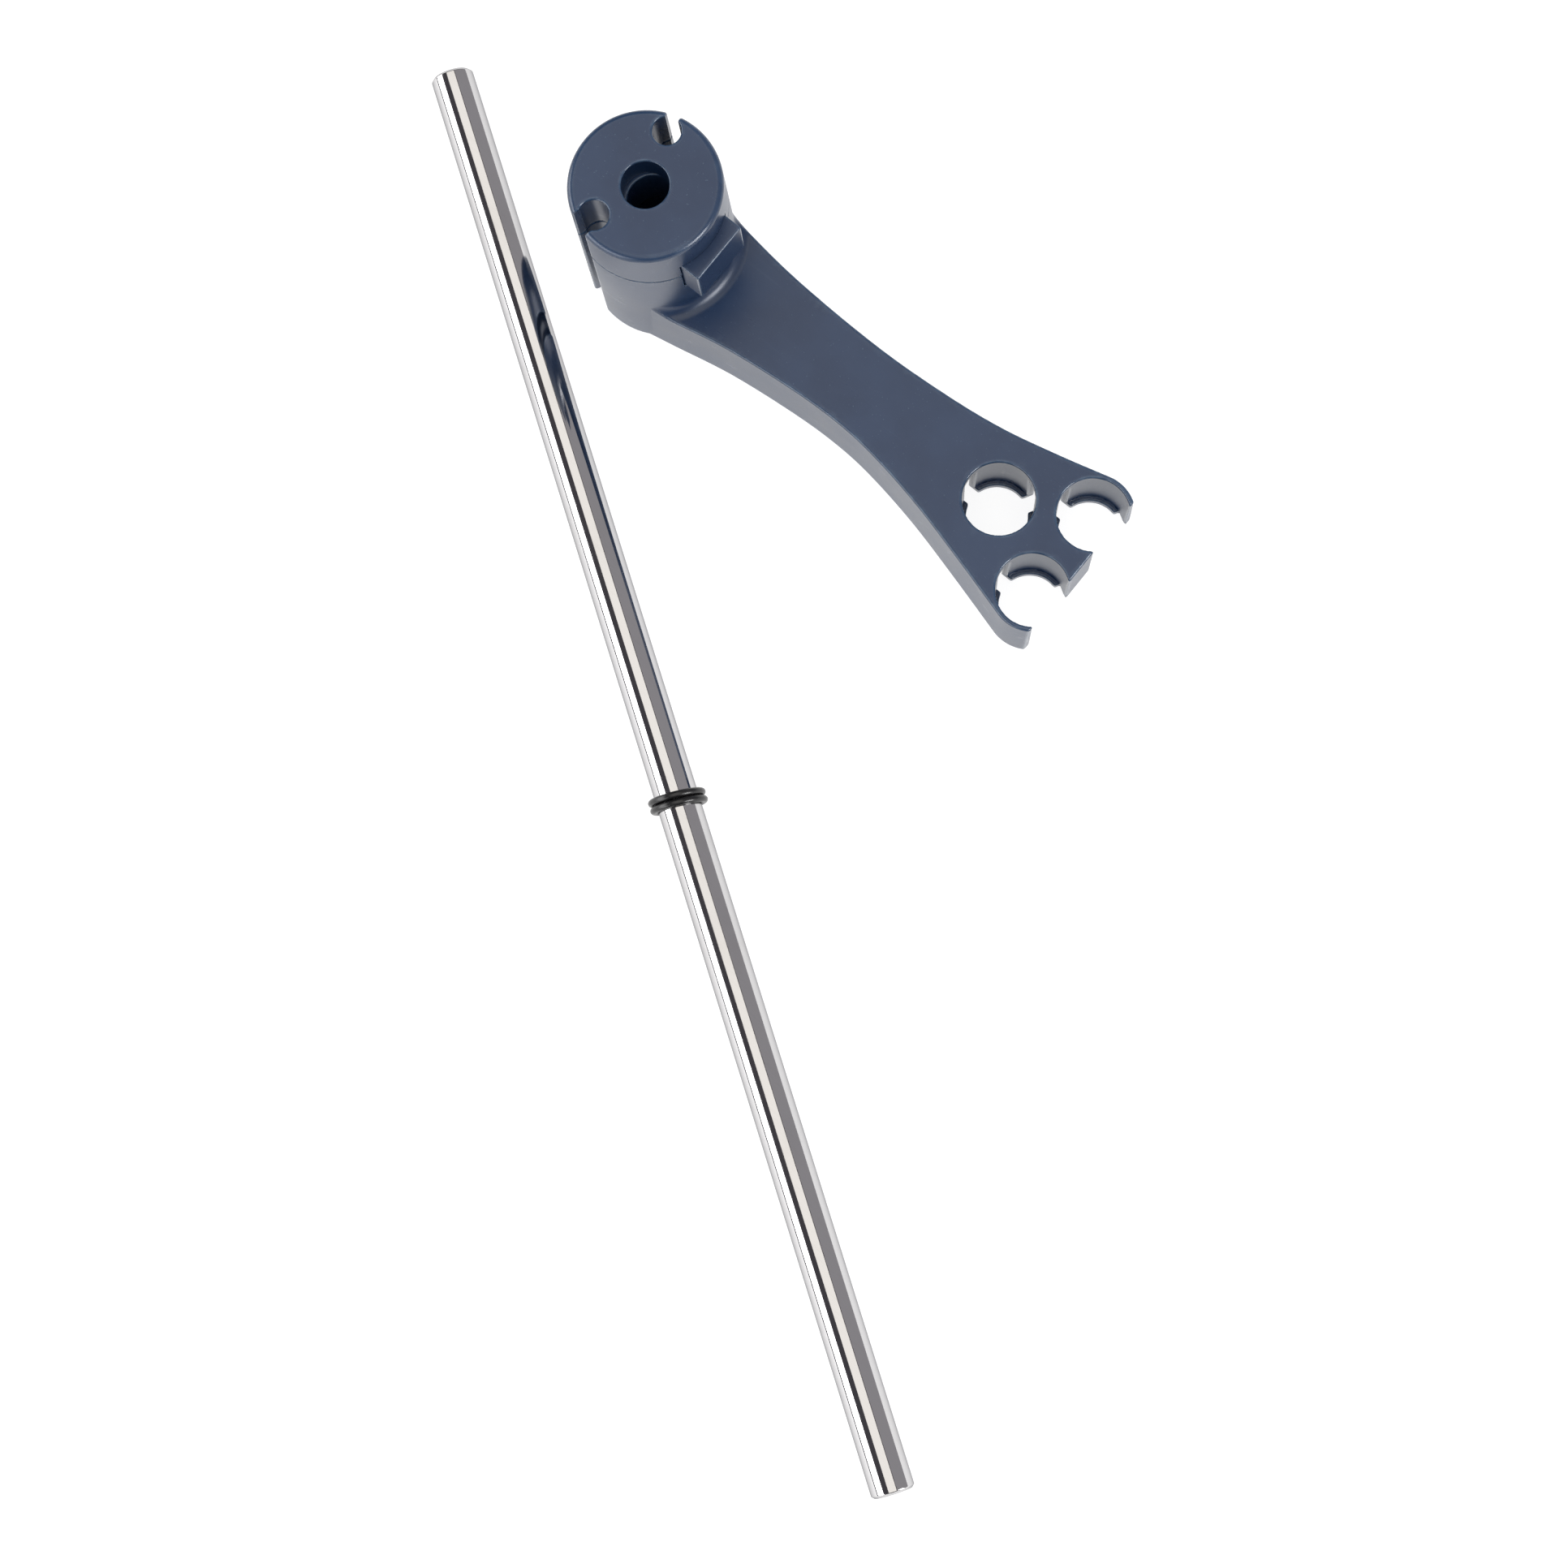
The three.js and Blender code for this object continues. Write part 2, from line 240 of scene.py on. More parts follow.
def mouldedPiece(name, field, low, high, step, most, finish, body, nodes):
    # A moulding from its field, with normals from the field's slope and an attribute that is 1 on outer
    # edges.
    points, faces = skinOf(field, low, high, step)

    def hand(piece):
        thin(piece, most)
        mesh = piece.data
        co = np.zeros(len(mesh.vertices) * 3)
        mesh.vertices.foreach_get("co", co)
        p = settle(field, (co.reshape(-1, 3) - hubAxis) / mm, step * 0.5, 2)
        mesh.vertices.foreach_set("co", (hubAxis + p * mm).astype(np.float32).ravel())
        reach = 0.35
        bend = sum(field(*(p + s * reach * d).T) for d in np.eye(3) for s in (-1, 1)) - 6 * field(*p.T)
        edge = mesh.attributes.new("edge", "FLOAT", "POINT")
        edge.data.foreach_set("value", np.clip(bend / (0.7 * reach), 0, 1).astype(np.float32))
        mesh.polygons.foreach_set("use_smooth", np.ones(len(mesh.polygons), bool))
        g = slope(field, p, 0.05)
        g /= np.maximum(np.linalg.norm(g, axis=1), 1e-6)[:, None]
        mesh.update()
        mesh.normals_split_custom_set_from_vertices(g.astype(np.float32))

    return makePiece(name, hubAxis + points * mm, faces, finish, body, nodes, hand)


# shader nodes

class Wire:
    # An output socket of a finish: arithmetic on it adds a Math node.

    def __init__(self, finish, socket):
        self.finish, self.socket = finish, socket

    def math(self, operation, a, b=0.0, clamp=False):
        return self.finish.add("ShaderNodeMath", {"operation": operation, "use_clamp": clamp}, {0: a, 1: b})

    def __add__(self, other):
        return self.math("ADD", self, other)

    def __radd__(self, other):
        return self.math("ADD", other, self)

    def __sub__(self, other):
        return self.math("SUBTRACT", self, other)

    def __rsub__(self, other):
        return self.math("SUBTRACT", other, self)

    def __mul__(self, other):
        return self.math("MULTIPLY", self, other)

    def __rmul__(self, other):
        return self.math("MULTIPLY", other, self)

    def __pow__(self, other):
        return self.math("POWER", self, other)

    def over(self, low, high):
        # 0 up to low and 1 from high on, smoothly between them.
        return self.finish.add("ShaderNodeMapRange", {"interpolation_type": "SMOOTHSTEP"},
                               {0: self, 1: low, 2: high, 3: 0.0, 4: 1.0})


class Finish:
    # A material being built. add() takes a node's type, its settings and the values or links of its
    # sockets.

    def __init__(self, name):
        self.material = bpy.data.materials.new(name)
        self.material.use_nodes = True
        self.tree = self.material.node_tree
        self.tree.nodes.clear()
        self.place = self.add("ShaderNodeTexCoord", out="Object")

    def add(self, kind, settings=None, inputs=None, out=0):
        node = self.tree.nodes.new(kind)
        for key, value in (settings or {}).items():
            setattr(node, key, value)
        for key, value in (inputs or {}).items():
            if isinstance(value, Wire):
                self.tree.links.new(value.socket, node.inputs[key])
            else:
                node.inputs[key].default_value = value
        return Wire(self, node.outputs[out])

    def noise(self, scale, detail=2.0, roughness=0.5, vector=None):
        return self.add("ShaderNodeTexNoise", {}, {"Vector": vector or self.place, "Scale": scale,
                                                  "Detail": detail, "Roughness": roughness})

    def stretched(self, scale, degrees=0.0):
        # The piece's own coordinates, turned about the vertical and stretched.
        turned = (0, 0, np.radians(degrees))
        return self.add("ShaderNodeMapping", {}, {"Vector": self.place, "Rotation": turned, "Scale": scale})

    def mix(self, factor, a, b):
        return self.add("ShaderNodeMix", {"data_type": "RGBA"}, {0: factor, 6: a, 7: b}, out=2)

    def bump(self, height, strength, distance, under=None):
        inputs = {"Height": height, "Strength": strength, "Distance": distance}
        if under:
            inputs["Normal"] = under
        return self.add("ShaderNodeBump", {}, inputs)

    def finish(self, **inputs):
        shader = self.add("ShaderNodeBsdfPrincipled", {}, {k.replace("_", " "): v for k, v in inputs.items()})
        output = self.tree.nodes.new("ShaderNodeOutputMaterial")
        self.tree.links.new(shader.socket, output.inputs["Surface"])
        return self.material


# the pale blue is both the colour of specks, edge wear and rub marks, and a painted highlight along every outer
# edge
plastic = {
    "colour": (0.015, 0.038, 0.096, 1), "pale": (0.024, 0.050, 0.112, 1), "dark": (0.011, 0.030, 0.080, 1),
    "wornAndEdgeHighlight": (0.085, 0.140, 0.215, 1), "roughness": 0.31, "grain": 0.00022, "grainStrength": 0.16,
}


def mouldedFinish():
    f = Finish("slate blue moulding")
    cloud = f.noise(55.0, 3.0)                          # slow drift in the pigment
    flow = f.noise(240.0, 4.0, 0.6)                     # flow marks a few millimetres long
    grain = f.noise(1 / plastic["grain"], 2.0, 0.6)     # spark-eroded mould texture
    speck = f.noise(1900.0, 1.0).math("GREATER_THAN", f.noise(1900.0, 1.0), 0.735)
    rub = f.noise(1.0, 3.0, 0.6, f.stretched((30, 900, 300), 20)).over(0.60, 0.72)
    edge = f.add("ShaderNodeAttribute", {"attribute_name": "edge"}, out="Fac")
    wear = edge * f.noise(420.0, 3.0).over(0.42, 0.70)
    base = f.mix(cloud.over(0.35, 0.65), plastic["dark"], plastic["colour"])
    base = f.mix(flow.over(0.35, 0.80) * 0.22, base, plastic["pale"])
    base = f.mix(speck * 0.35, base, plastic["wornAndEdgeHighlight"])
    # partly edge wear and rub marks, partly a painted highlight: every outer edge is lightened by 0.30 towards the
    # pale blue
    base = f.mix(wear * 0.35 + rub * 0.05 + edge * 0.30, base, plastic["wornAndEdgeHighlight"])
    rough = plastic["roughness"] + (cloud - 0.5) * 0.10 + (flow - 0.5) * 0.04 - edge * 0.14 - rub * 0.04
    lumps = f.bump(flow, 0.03, 0.0002)
    normal = f.bump(grain, plastic["grainStrength"], 0.00005, lumps)
    return f.finish(Base_Color=base, Roughness=rough, Normal=normal, IOR=1.5)


steelRod = {"colour": (0.60, 0.595, 0.60, 1), "stain": (0.48, 0.47, 0.46, 1), "roughness": 0.05,
            "rim": (0.46, 0.46, 0.47, 1)}


def rodFinish():
    f = Finish("polished steel")
    lines = f.noise(1.0, 3.0, 0.7, f.stretched((5200, 120, 120), 33.5))     # grinding marks round the rod
    streak = f.noise(1.0, 3.0, 0.6, f.stretched((9, 1400, 1400), 33.5))     # draw marks along it
    smudge = f.noise(38.0, 4.0, 0.6)
    stained = smudge.over(0.50, 0.80) * 0.35 + streak.over(0.5, 0.8) * 0.15
    base = f.mix(stained, steelRod["colour"], steelRod["stain"])
    rough = steelRod["roughness"] + smudge.over(0.45, 0.75) * 0.05 + lines * 0.03
    normal = f.bump(lines, 0.05, 0.000008, f.bump(streak, 0.06, 0.00001))
    return f.finish(Base_Color=base, Roughness=rough, Normal=normal, Metallic=1.0,
                    Specular_Tint=steelRod["rim"])


rubber = {"colour": (0.008, 0.008, 0.009, 1), "dust": (0.028, 0.028, 0.030, 1), "roughness": 0.20}


def rubberFinish():
    f = Finish("black rubber")
    skin = f.noise(2600.0, 3.0, 0.6)
    bloom = f.noise(260.0, 4.0, 0.65)
    base = f.mix(bloom.over(0.5, 0.8) * 0.35 + skin.over(0.62, 0.72) * 0.3, rubber["colour"], rubber["dust"])
    rough = rubber["roughness"] + bloom * 0.18
    normal = f.bump(skin, 0.2, 0.00004, f.bump(bloom, 0.25, 0.00012))
    return f.finish(Base_Color=base, Roughness=rough, Normal=normal)


fitting = {"colour": (0.62, 0.62, 0.63, 1), "dull": (0.40, 0.39, 0.38, 1), "roughness": 0.24}


def fittingFinish():
    f = Finish("bright zinc")
    cloud = f.noise(700.0, 4.0, 0.6)
    lines = f.noise(1.0, 2.0, 0.6, f.stretched((900, 900, 9000)))
    base = f.mix(cloud.over(0.4, 0.7), fitting["colour"], fitting["dull"])
    rough = fitting["roughness"] + cloud * 0.2
    normal = f.bump(lines, 0.15, 0.00002, f.bump(cloud, 0.15, 0.00004))
    return f.finish(Base_Color=base, Roughness=rough, Normal=normal, Metallic=1.0)


moulding, polished, blackRubber, zinc = mouldedFinish(), rodFinish(), rubberFinish(), fittingFinish()
print("finishes ready")


# the hub, its button and the arm

hub = {
    "radius": 16.2, "footRadius": footRadius, "height": 56.5, "seam": 41.35, "gap": 0.3, "bore": 5.0,
    "topEdge": 1.4, "footEdge": 1.2, "rim": 0.4, "lip": 0.5,
    "seatOffset": 12.25, "seats": ((108.0, 3.0, 2.8), (-110.5, 3.2, 5.0)),      # angle, radius, mouth
    "wall": 2.0, "rib": 1.6, "ribRise": 3.0, "ribAngles": (0, 60, -60, 180), "ceiling": 29.9,
    "screws": ((9.0, 9.6), (9.0, -9.6), (-11.1, 6.5), (-11.1, -6.5)), "clearance": 0.3,
}
button = {
    "half": 7.15, "bottom": 33.85, "top": 47.15, "face": 19.1, "edge": 0.45, "slideHalf": 7.1,
    "slideBottom": 32.8, "slideTop": 48.2, "shoulder": 11.2, "neck": -6.6, "back": -9.8, "boss": 4.2, "travel": 2.6,
    "hole": 5.5, "holeOffset": 1.3, "springHole": 3.0, "springHeight": 40.5, "gap": 0.15,
}
armShape = {
    "thickness": 20.0, "end": 116.4, "pocketEnd": 103.0, "skin": 2.6, "wall": 2.0, "fillet": 3.0, "edge": 0.6,
    "left": ((6, 15.2), (14, 13.6), (30, 11.8), (52, 11.1), (70, 12.0), (84, 13.7), (97, 16.6)),
    "right": ((6, 15.2), (14, 13.6), (28, 10.8), (45, 9.0), (57, 8.7), (67, 9.6), (80, 12.0), (94, 15.6)),
    "draft": 0.65, "lobe": 9.65, "lobeStart": 106.0, "socket": 7.87, "inner": (93.45, 0.55),
    "outer": (111.3, 10.4), "rim": 0.5, "ledge": 6.75, "ledgeHeight": 2.5, "ledgeEnd": 4.4, "slot": 3.6,
    "prongEdge": 0.3, "crossRibs": (34.0, 55.0, 76.0),
}
lobe = armShape["lobe"]
outerX, outerY = armShape["outer"]
sockets = [armShape["inner"], (outerX, outerY), (outerX, -outerY)]
waistX = np.linspace(-20, 120, 2801)


def waist(stations):
    # Distance of one side from the hub's axis: a smooth cubic through its stations, and then the lobe round
    # an outer socket. The second list is the cosine of the side's slant.
    a = np.radians(armShape["lobeStart"])
    points = np.array(stations + ((outerX + lobe * np.cos(a), outerY + lobe * np.sin(a)),), float)
    before = np.vstack((points[:1], points[:-1]))[:-1]
    after = np.vstack((points[1:], points[-1:]))[1:]
    t = np.linspace(0, 1, 40, endpoint=False)[None, :, None]
    p0, p1, p2, p3 = (v[:, None, :] for v in (before, points[:-1], points[1:], after))
    curve = 0.5 * (2 * p1 + (p2 - p0) * t + (2 * p0 - 5 * p1 + 4 * p2 - p3) * t ** 2
                   + (3 * p1 - p0 - 3 * p2 + p3) * t ** 3)
    curve = np.vstack((curve.reshape(-1, 2), points[-1:]))
    circle = outerY + np.sqrt(np.maximum(lobe ** 2 - (waistX - outerX) ** 2, 0.01))
    width = np.where(waistX < points[-1, 0], np.interp(waistX, curve[:, 0], curve[:, 1]), circle)
    return width, 1 / np.hypot(1, np.gradient(width, waistX))


sides = ((1, *waist(armShape["left"])), (-1, *waist(armShape["right"])))


def pastSides(x, y, z):
    # How far a point is past the nearer side of the arm. Both sides lean in by the draft towards the top.
    past = [(y * way - np.interp(x, waistX, width)) * np.interp(x, waistX, slant)
            for way, width, slant in sides]
    return np.maximum(past[0], past[1]) + armShape["draft"] * z / armShape["thickness"]


def pastHub(x, y, z):
    # Distance from the hub's wall, whose radius shrinks evenly with height.
    shrink = (hub["footRadius"] - hub["radius"]) * z / hub["height"]
    return np.hypot(x, y) - hub["footRadius"] + shrink


def seatCentre(degrees):
    a = np.radians(degrees)
    return hub["seatOffset"] * np.cos(a), hub["seatOffset"] * np.sin(a)


def slideRoom(x, y, z):
    # Room in the hub for the button's slide: its plate, boss, window and spring pocket.
    b, c = button, hub["clearance"]
    low, high = b["slideBottom"] - c, b["slideTop"] + c
    main = block(x, y, z, (b["neck"] - b["travel"] - c, -b["slideHalf"] - c, low),
                 (b["shoulder"] + c, b["slideHalf"] + c, high))
    tail = block(x, y, z, (b["back"] - b["travel"] - c, -b["boss"] - c, low), (0, b["boss"] + c, high))
    g = b["gap"]
    window = block(x, y, z, (0, -b["half"] - g, b["bottom"] - g),
                   (hub["radius"] + 4, b["half"] + g, b["top"] + g))
    pocket = np.maximum(np.hypot(y, z - b["springHeight"]) - b["springHole"], np.maximum(-14.3 - x, x))
    return np.minimum(np.minimum(main, tail), np.minimum(window, pocket))


def hubCuts(body, x, y, z):
    # Cable seats with their mouths, the rod's bore, the slide's room and the screw holes.
    for degrees, radius, mouth in hub["seats"]:
        way = spoke(x, y, (0, 0), degrees, hub["seatOffset"], hub["footRadius"] + 2, mouth)
        body = carve(body, np.minimum(tube(x, y, seatCentre(degrees), radius), way), hub["lip"])
    body = carve(body, np.hypot(x, y) - hub["bore"], hub["rim"])
    body = carve(body, slideRoom(x, y, z), 0.1)
    for place in hub["screws"]:
        shank = np.maximum(tube(x, y, place, 1.4), z - 48.3)
        body = carve(body, np.minimum(shank, np.maximum(tube(x, y, place, 2.3), z - 28)), 0.15)
    return body


def armField(x, y, z):
    # The arm between its waisted sides, flat front and filleted top, joined to the lower hub, then hollowed
    # from below round the ribs and the socket tubes, and bored for the sockets, their ledges and their
    # slots.
    s, thick = armShape, armShape["thickness"]
    rho = np.hypot(x, y)
    seam = hub["seam"] - hub["gap"] / 2
    beside, wall = pastSides(x, y, z), pastHub(x, y, z)
    plan = rounded(beside, x - s["end"], s["prongEdge"])
    body = rounded(np.maximum(plan, -x), joined(z - thick, wall, s["fillet"]), s["edge"])
    body = rounded(np.maximum(body, z - seam), -z, 0.35)
    body = np.minimum(body, rounded(rounded(wall, z - seam, 0.2), -z, hub["footEdge"]))
    pocket = np.maximum(beside + s["wall"], x - s["pocketEnd"])
    pocket = np.maximum(pocket, hub["footRadius"] + 0.5 - rho)
    for place in sockets:
        pocket = np.maximum(pocket, -tube(x, y, place, lobe))
    ribs = np.maximum(np.abs(y) - hub["rib"] / 2, x - s["crossRibs"][-1])
    for place in s["crossRibs"]:
        ribs = np.minimum(ribs, np.abs(x - place) - hub["rib"] / 2)
    pocket = np.maximum(np.maximum(pocket, z - thick + s["skin"]), -np.maximum(ribs, hub["ribRise"] - z))
    body = carve(body, pocket, 0.35)
    ring = np.maximum(rho - hub["radius"] + hub["wall"], hub["bore"] + hub["wall"] - rho)
    for degrees, radius, mouth in hub["seats"]:
        ring = np.maximum(ring, hub["rib"] - tube(x, y, seatCentre(degrees), radius))
    for place in hub["screws"]:
        ring = np.maximum(ring, -tube(x, y, place, 3.9))
    for degrees in hub["ribAngles"]:
        rib = spoke(x, y, (0, 0), degrees, 0, hub["radius"], hub["rib"])
        ring = np.maximum(ring, -np.maximum(rib, hub["ribRise"] - z))
    body = carve(body, np.maximum(ring, z - hub["ceiling"]), 0.35)
    for i, place in enumerate(sockets):
        body = carve(body, np.maximum(tube(x, y, place, s["socket"]), s["ledgeHeight"] - z), s["rim"])
        body = carve(body, tube(x, y, place, s["ledge"]), 0.35)
        for degrees in (180, 60, 300):
            whole = i == 0 or degrees == 180
            slot = spoke(x, y, place, degrees, 4.75, lobe + 0.5 if whole else s["socket"], s["slot"])
            body = carve(body, np.maximum(slot, z - (thick - s["skin"] if whole else s["ledgeHeight"])), 0.3)
        if i > 0:
            front = np.maximum(tube(x, y, place, s["socket"]), place[0] + s["ledgeEnd"] - x)
            body = carve(body, np.maximum(front, z - s["ledgeHeight"]), 0.3)
    return hubCuts(body, x, y, z)


def capField(x, y, z):
    # The hub's upper part: a disc with a rounded top edge, less the same cuts.
    body = rounded(pastHub(x, y, z), z - hub["height"], hub["topEdge"])
    return hubCuts(rounded(body, hub["seam"] + hub["gap"] / 2 - z, 0.2), x, y, z)


def buttonField(x, y, z):
    # The button's block with rounded edges, in front of a slide with a round hole for the rod and a spring
    # pocket.
    b = button
    sides = rounded(np.abs(y) - b["half"], np.maximum(b["bottom"] - z, z - b["top"]), b["edge"])
    front = np.maximum(rounded(sides, x - b["face"], b["edge"]), b["shoulder"] - 1 - x)
    plate = block(x, y, z, (b["neck"], -b["slideHalf"], b["slideBottom"]),
                  (b["shoulder"], b["slideHalf"], b["slideTop"]))
    boss = block(x, y, z, (b["back"], -b["boss"], b["slideBottom"]), (0, b["boss"], b["slideTop"]))
    body = np.minimum(front, np.minimum(plate, boss))
    body = carve(body, tube(x, y, (b["holeOffset"], 0), b["hole"]), 0.3)
    bore = np.maximum(np.hypot(y, z - b["springHeight"]) - b["springHole"], x + 6.4)
    return carve(body, bore, 0.2)


coarse = 1.0
mouldedPiece("moulded_arm", armField, (-footRadius, -20.05, 0), (116.4, 20.05, 41.2), 0.42 * coarse, 185000,
             moulding, "arm", ["arm_body"])
mouldedPiece("moulded_cap", capField, (-16.4, -16.4, 41.5), (16.4, 16.4, 56.5), 0.3 * coarse, 120000,
             moulding, "arm", ["hub_cap"])
mouldedPiece("moulded_button", buttonField, (-9.8, -7.1, 32.8), (19.1, 7.1, 48.2), 0.3 * coarse, 60000,
             moulding, "button", ["release_button"])


# rod, rings, spring and screws

rod = {"radius": 4.7625, "length": 324.0, "chamfer": 0.6, "soft": 0.12, "around": 160}


def turnedPiece(name, profile, origin, axis, side, around, finish, body, nodes, hand):
    # A profile of distance along and radius, carried round an axis: radius times the cosine and sine of the
    # turn.
    profile = np.array(profile, float) * mm
    other = np.cross(axis, side)
    a = np.linspace(0, 2 * np.pi, around, endpoint=False)
    ring = np.cos(a)[:, None] * side + np.sin(a)[:, None] * other
    points = origin + profile[:, None, :1] * axis + profile[:, None, 1:] * ring[None]
    return makePiece(name, points.reshape(-1, 3), wrap(points), finish, body, nodes, hand)


def softCorner(before, corner, after, r, count=5):
    # Points of a small curve that cuts a profile's corner: the mean of three points with moving weights.
    p, c, q = (np.array(v, float) for v in (before, corner, after))
    a = c + (p - c) / np.linalg.norm(p - c) * r
    b = c + (q - c) / np.linalg.norm(q - c) * r
    t = np.linspace(0, 1, count)[:, None]
    return list((1 - t) ** 2 * a + 2 * t * (1 - t) * c + t ** 2 * b)


def rodProfile():
    radius, length, chamfer = rod["radius"], rod["length"], rod["chamfer"]
    face = radius - chamfer
    corners = [(0, 0), (0, face), (chamfer, radius), (length - chamfer, radius), (length, face), (length, 0)]
    profile = [corners[0]]
    for i in range(1, 5):
        profile += softCorner(corners[i - 1], corners[i], corners[i + 1], rod["soft"])
    profile.append(corners[-1])
    middlePart = [(x, radius) for x in np.linspace(chamfer + 1, length - chamfer - 1, 40)]
    return profile[:11] + middlePart + profile[11:]


rodEnd = rodMiddle - along * rod["length"] * mm / 2
turnedPiece("steel_rod", rodProfile(), rodEnd, along, up, rod["around"], polished, "support_rod", ["rod"],
            creaseAt(50))

ringShape = {"section": 0.8, "major": 5.6025, "flash": 0.025, "tilt": -3.4}


def ringPiece(name, node, body):
    # A torus round the rod, its section raised a little in a thin line where the mould parts.
    a = np.linspace(0, 2 * np.pi, 144, endpoint=False)
    b = np.linspace(0, 2 * np.pi, 48, endpoint=False)
    section = ringShape["section"] - ringShape["flash"] * (1 - np.exp(-(np.sin(b) / 0.12) ** 2)) * 0.5
    radial = (ringShape["major"] + section * np.cos(b))[None, :, None] * mm
    lean = np.radians(ringShape["tilt"])
    axis = np.cos(lean) * along + np.sin(lean) * across
    side = np.cross(up, axis)
    out = np.cos(a)[:, None, None] * up + np.sin(a)[:, None, None] * side
    points = middle(node) + radial * out + (section * np.sin(b))[None, :, None] * mm * axis
    rows = np.concatenate((points, points[:1]))
    return makePiece(name, rows.reshape(-1, 3), wrap(rows), blackRubber, body, [node], weld)


ringPiece("stop_ring_upper", "o_ring_upper", "upper_ring")
ringPiece("stop_ring_lower", "o_ring_lower", "lower_ring")

spring = {"coil": 2.3, "wire": 0.3, "turns": 5, "height": 40.5, "outer": -14.0, "inner": -6.4, "rest": 0.3}


def springPiece():
    # A wire of round section along a helix: the coil's centre moves along x as the angle grows.
    t = np.linspace(0, 1, 400)[:, None]
    a = t * spring["turns"] * 2 * np.pi
    start = spring["outer"] + spring["wire"]
    run = spring["inner"] - spring["wire"] - spring["rest"] - start
    coilY, coilZ = spring["coil"] * np.cos(a), spring["height"] + spring["coil"] * np.sin(a)
    centre = np.hstack((start + run * t, coilY, coilZ))
    out = np.hstack((0 * a, np.cos(a), np.sin(a)))
    ahead = np.hstack((run + 0 * a, -np.sin(a) * spring["coil"] * spring["turns"] * 2 * np.pi,
                       np.cos(a) * spring["coil"] * spring["turns"] * 2 * np.pi))
    ahead /= np.linalg.norm(ahead, axis=1)[:, None]
    side = np.cross(ahead, out)
    b = np.linspace(0, 2 * np.pi, 16, endpoint=False)
    thick = spring["wire"] * np.ones(len(t) + 2)
    thick[[0, -1]] = 0
    index = np.clip(np.arange(-1, len(t) + 1), 0, len(t) - 1)
    ring = np.cos(b)[None, :, None] * out[index][:, None] + np.sin(b)[None, :, None] * side[index][:, None]
    points = centre[index][:, None] + thick[:, None, None] * ring
    piece = makePiece("coil_spring", (hubAxis + points * mm).reshape(-1, 3), wrap(points), zinc, "arm",
                      ["lock_spring"], weld)
    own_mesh(piece)


springPiece()

screw = {"head": 2.0, "headLow": 26.5, "seat": 27.95, "shank": 1.1, "core": 0.86, "tip": 47.9, "pitch": 0.8,
         "recess": 0.75, "arm": 0.28, "armLength": 1.15}


def screwPiece(number, node):
    # A pan head with a cross recess, the depth of which falls off at the edges of its arms, and a thread
    # whose radius rises and falls with the height less the turn.
    s = screw
    a = np.linspace(0, 2 * np.pi, 96, endpoint=False)
    headR = np.linspace(0, s["head"] - 0.45, 18)[:, None]
    cross = np.minimum(np.abs(np.sin(a)), np.abs(np.cos(a))) * headR
    reach = np.maximum(np.abs(np.sin(a)), np.abs(np.cos(a))) * headR
    inArm, inLength = np.clip((s["arm"] - cross) / 0.12, 0, 1), np.clip((s["armLength"] - reach) / 0.25, 0, 1)
    depth = s["recess"] * inArm * inLength
    headZ = s["headLow"] + depth
    t = np.linspace(0, np.pi / 2, 8)[1:, None]
    bendR, bendZ = s["head"] - 0.45 + 0.45 * np.sin(t), s["headLow"] + 0.45 * (1 - np.cos(t))
    shankZ = np.linspace(s["seat"], s["tip"] - 1.1, 190)[:, None]
    ridge = np.abs(((shankZ / s["pitch"] - a / (2 * np.pi)) % 1) * 2 - 1)
    thread = np.clip(1.6 * ridge - 0.3, 0, 1) * np.clip(shankZ - s["seat"] - 0.5, 0, 1)
    shankR = s["core"] + (s["shank"] - s["core"]) * thread
    tipZ, tipR = np.array([[s["tip"] - 1.1], [s["tip"]], [s["tip"]]]), np.array([[s["core"]], [0.37], [0.0]])
    seatZ, seatR = np.array([[s["seat"]], [s["seat"]]]), np.array([[s["head"]], [s["core"]]])
    one = np.ones((1, len(a)))
    r = np.concatenate([v * one for v in (headR, bendR, seatR, shankR, tipR)])
    z = np.concatenate([v * one for v in (headZ, bendZ, seatZ, shankZ, tipZ)])
    centre = middle(node)
    points = np.stack((centre[0] + r * np.cos(a) * mm, centre[1] + r * np.sin(a) * mm, z * mm), -1)
    makePiece(f"pan_screw_{number}", points.reshape(-1, 3), wrap(points), zinc, "arm", [node],
              creaseAt(40))


for i in (1, 2, 3, 4):
    screwPiece(i, f"cap_screw_{i}")


# floor, lights and camera

def paleFloor():
    f = Finish("pale table")
    drift = f.noise(6.0, 2.0)
    base = f.mix(drift, (0.29, 0.29, 0.292, 1), (0.31, 0.31, 0.31, 1))
    pale = f.mix(drift, (0.97, 0.97, 0.975, 1), (0.99, 0.99, 0.99, 1))
    # the table glows a little, but not in the shade inside the hub's bore
    fromBore = f.add("ShaderNodeVectorMath", {"operation": "DISTANCE"}, {0: f.place, 1: tuple(hubAxis)},
                     out="Value")
    glow = f.mix(fromBore.over(0.006, 0.009), (0, 0, 0, 1), pale)
    grain = f.bump(f.noise(500.0), 0.05, 0.0002)
    material = f.finish(Base_Color=base, Roughness=0.6 + drift * 0.1, Normal=grain, Emission_Color=glow,
                        Emission_Strength=0.88)
    size, low = 14.0, -0.00005
    mesh = bpy.data.meshes.new("table")
    corners = [(-size, -size, low), (size, -size, low), (size, size, low), (-size, size, low)]
    mesh.from_pydata(corners, [], [(0, 1, 2, 3)])
    mesh.materials.append(material)
    table = bpy.data.objects.new("table", mesh)
    bpy.context.scene.collection.objects.link(table)


paleFloor()

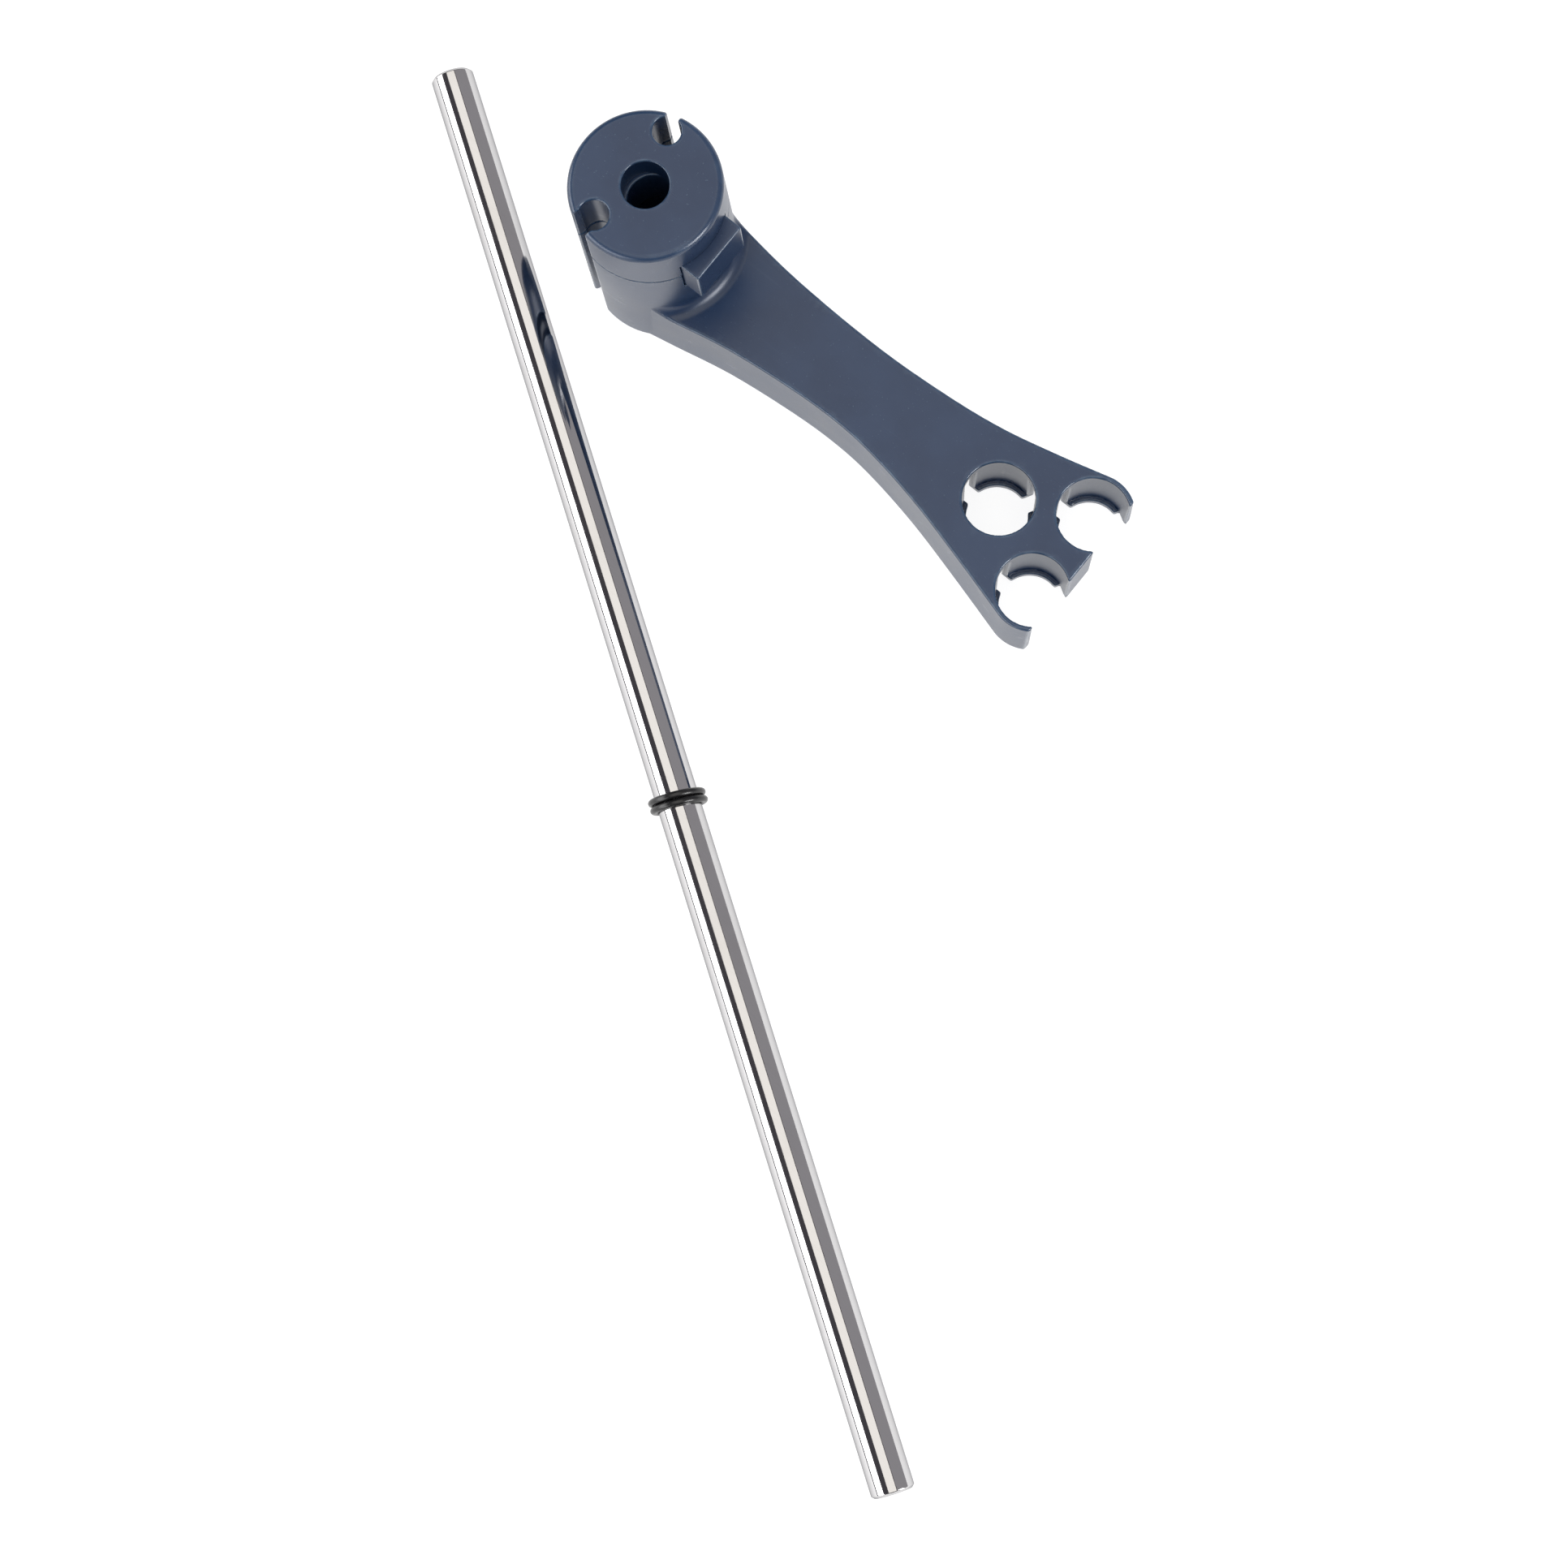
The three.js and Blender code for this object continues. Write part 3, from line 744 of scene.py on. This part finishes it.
# direction of each panel: lean from straight up, towards a heading measured from the arm's axis
lights = {
    "left": {"heading": -123.5, "lean": 66.0, "half": 16.5, "distance": 1.0, "length": 2.2, "glow": 4.5},
    "above": {"heading": 56.5, "lean": 0.0, "half": 20.7, "distance": 1.35, "length": 2.4, "glow": 1.3,
              "colour": (1, 0.965, 0.90)},
    "right": {"heading": 56.5, "lean": 57.0, "half": 33.0, "distance": 0.95, "length": 2.2, "glow": 0.30,
              "colour": (1, 0.97, 1)},
    "front": {"heading": 8.0, "lean": 62.0, "half": 12.0, "distance": 1.0, "length": 0.4, "glow": 14.0},
    "fill": {"heading": 56.5, "lean": 0.0, "half": 50.0, "distance": 1.5, "length": 3.6, "glow": 0.9},
}


def panel(name, heading, lean, half, distance, length, glow, colour=(1, 1, 1)):
    # A panel square on to the scene's middle, so wide that it spans twice the half-angle. The left and front
    # ones only make the sheen on edges and steel, and the fill only the soft light.
    a, h = np.radians(lean), np.radians(heading)
    sideways, lengthways = np.array((np.cos(h), np.sin(h), 0)), np.array((np.sin(h), -np.cos(h), 0))
    out = np.sin(a) * sideways + np.cos(a) * up
    width = 2 * distance * np.tan(np.radians(half))
    data = bpy.data.lights.new(name, "AREA")
    data.shape = "RECTANGLE"
    data.size, data.size_y = length, width
    data.energy = glow * np.pi * length * width
    data.color = colour
    lamp = bpy.data.objects.new(name, data)
    m = np.eye(4)
    m[:3, 0], m[:3, 1], m[:3, 2], m[:3, 3] = lengthways, np.cross(out, lengthways), out, out * distance
    lamp.matrix_world = Matrix(m.tolist())
    lamp.visible_camera = False
    lamp.visible_glossy = name != "fill"
    lamp.visible_diffuse = name not in ("left", "front")
    bpy.context.scene.collection.objects.link(lamp)


for name, values in lights.items():
    panel(name, **values)

world = bpy.data.worlds.new("studio")
world.use_nodes = True
world.node_tree.nodes["Background"].inputs[0].default_value = (0.075, 0.07, 0.08, 1)
bpy.context.scene.world = world

view = {"place": (171.529, -123.543, 700.227), "right": (0.775626, 0.629829, -0.04148),
        "down": (0.621605, -0.773603, -0.123064), "ahead": (-0.109598, 0.069668, -0.991531), "lens": 74.496}
cameraData = bpy.data.cameras.new("camera")
cameraData.sensor_width = 36
cameraData.lens = view["lens"]
cameraData.clip_start = 0.01
camera = bpy.data.objects.new("camera", cameraData)
m = np.eye(4)
m[:3, 0], m[:3, 1], m[:3, 2] = view["right"], -np.array(view["down"]), -np.array(view["ahead"])
m[:3, 3] = hubAxis + np.array(view["place"]) * mm
camera.matrix_world = Matrix(m.tolist())
bpy.context.scene.collection.objects.link(camera)
bpy.context.scene.camera = camera
bpy.context.scene.view_settings.view_transform = "Standard"
print("studio ready")
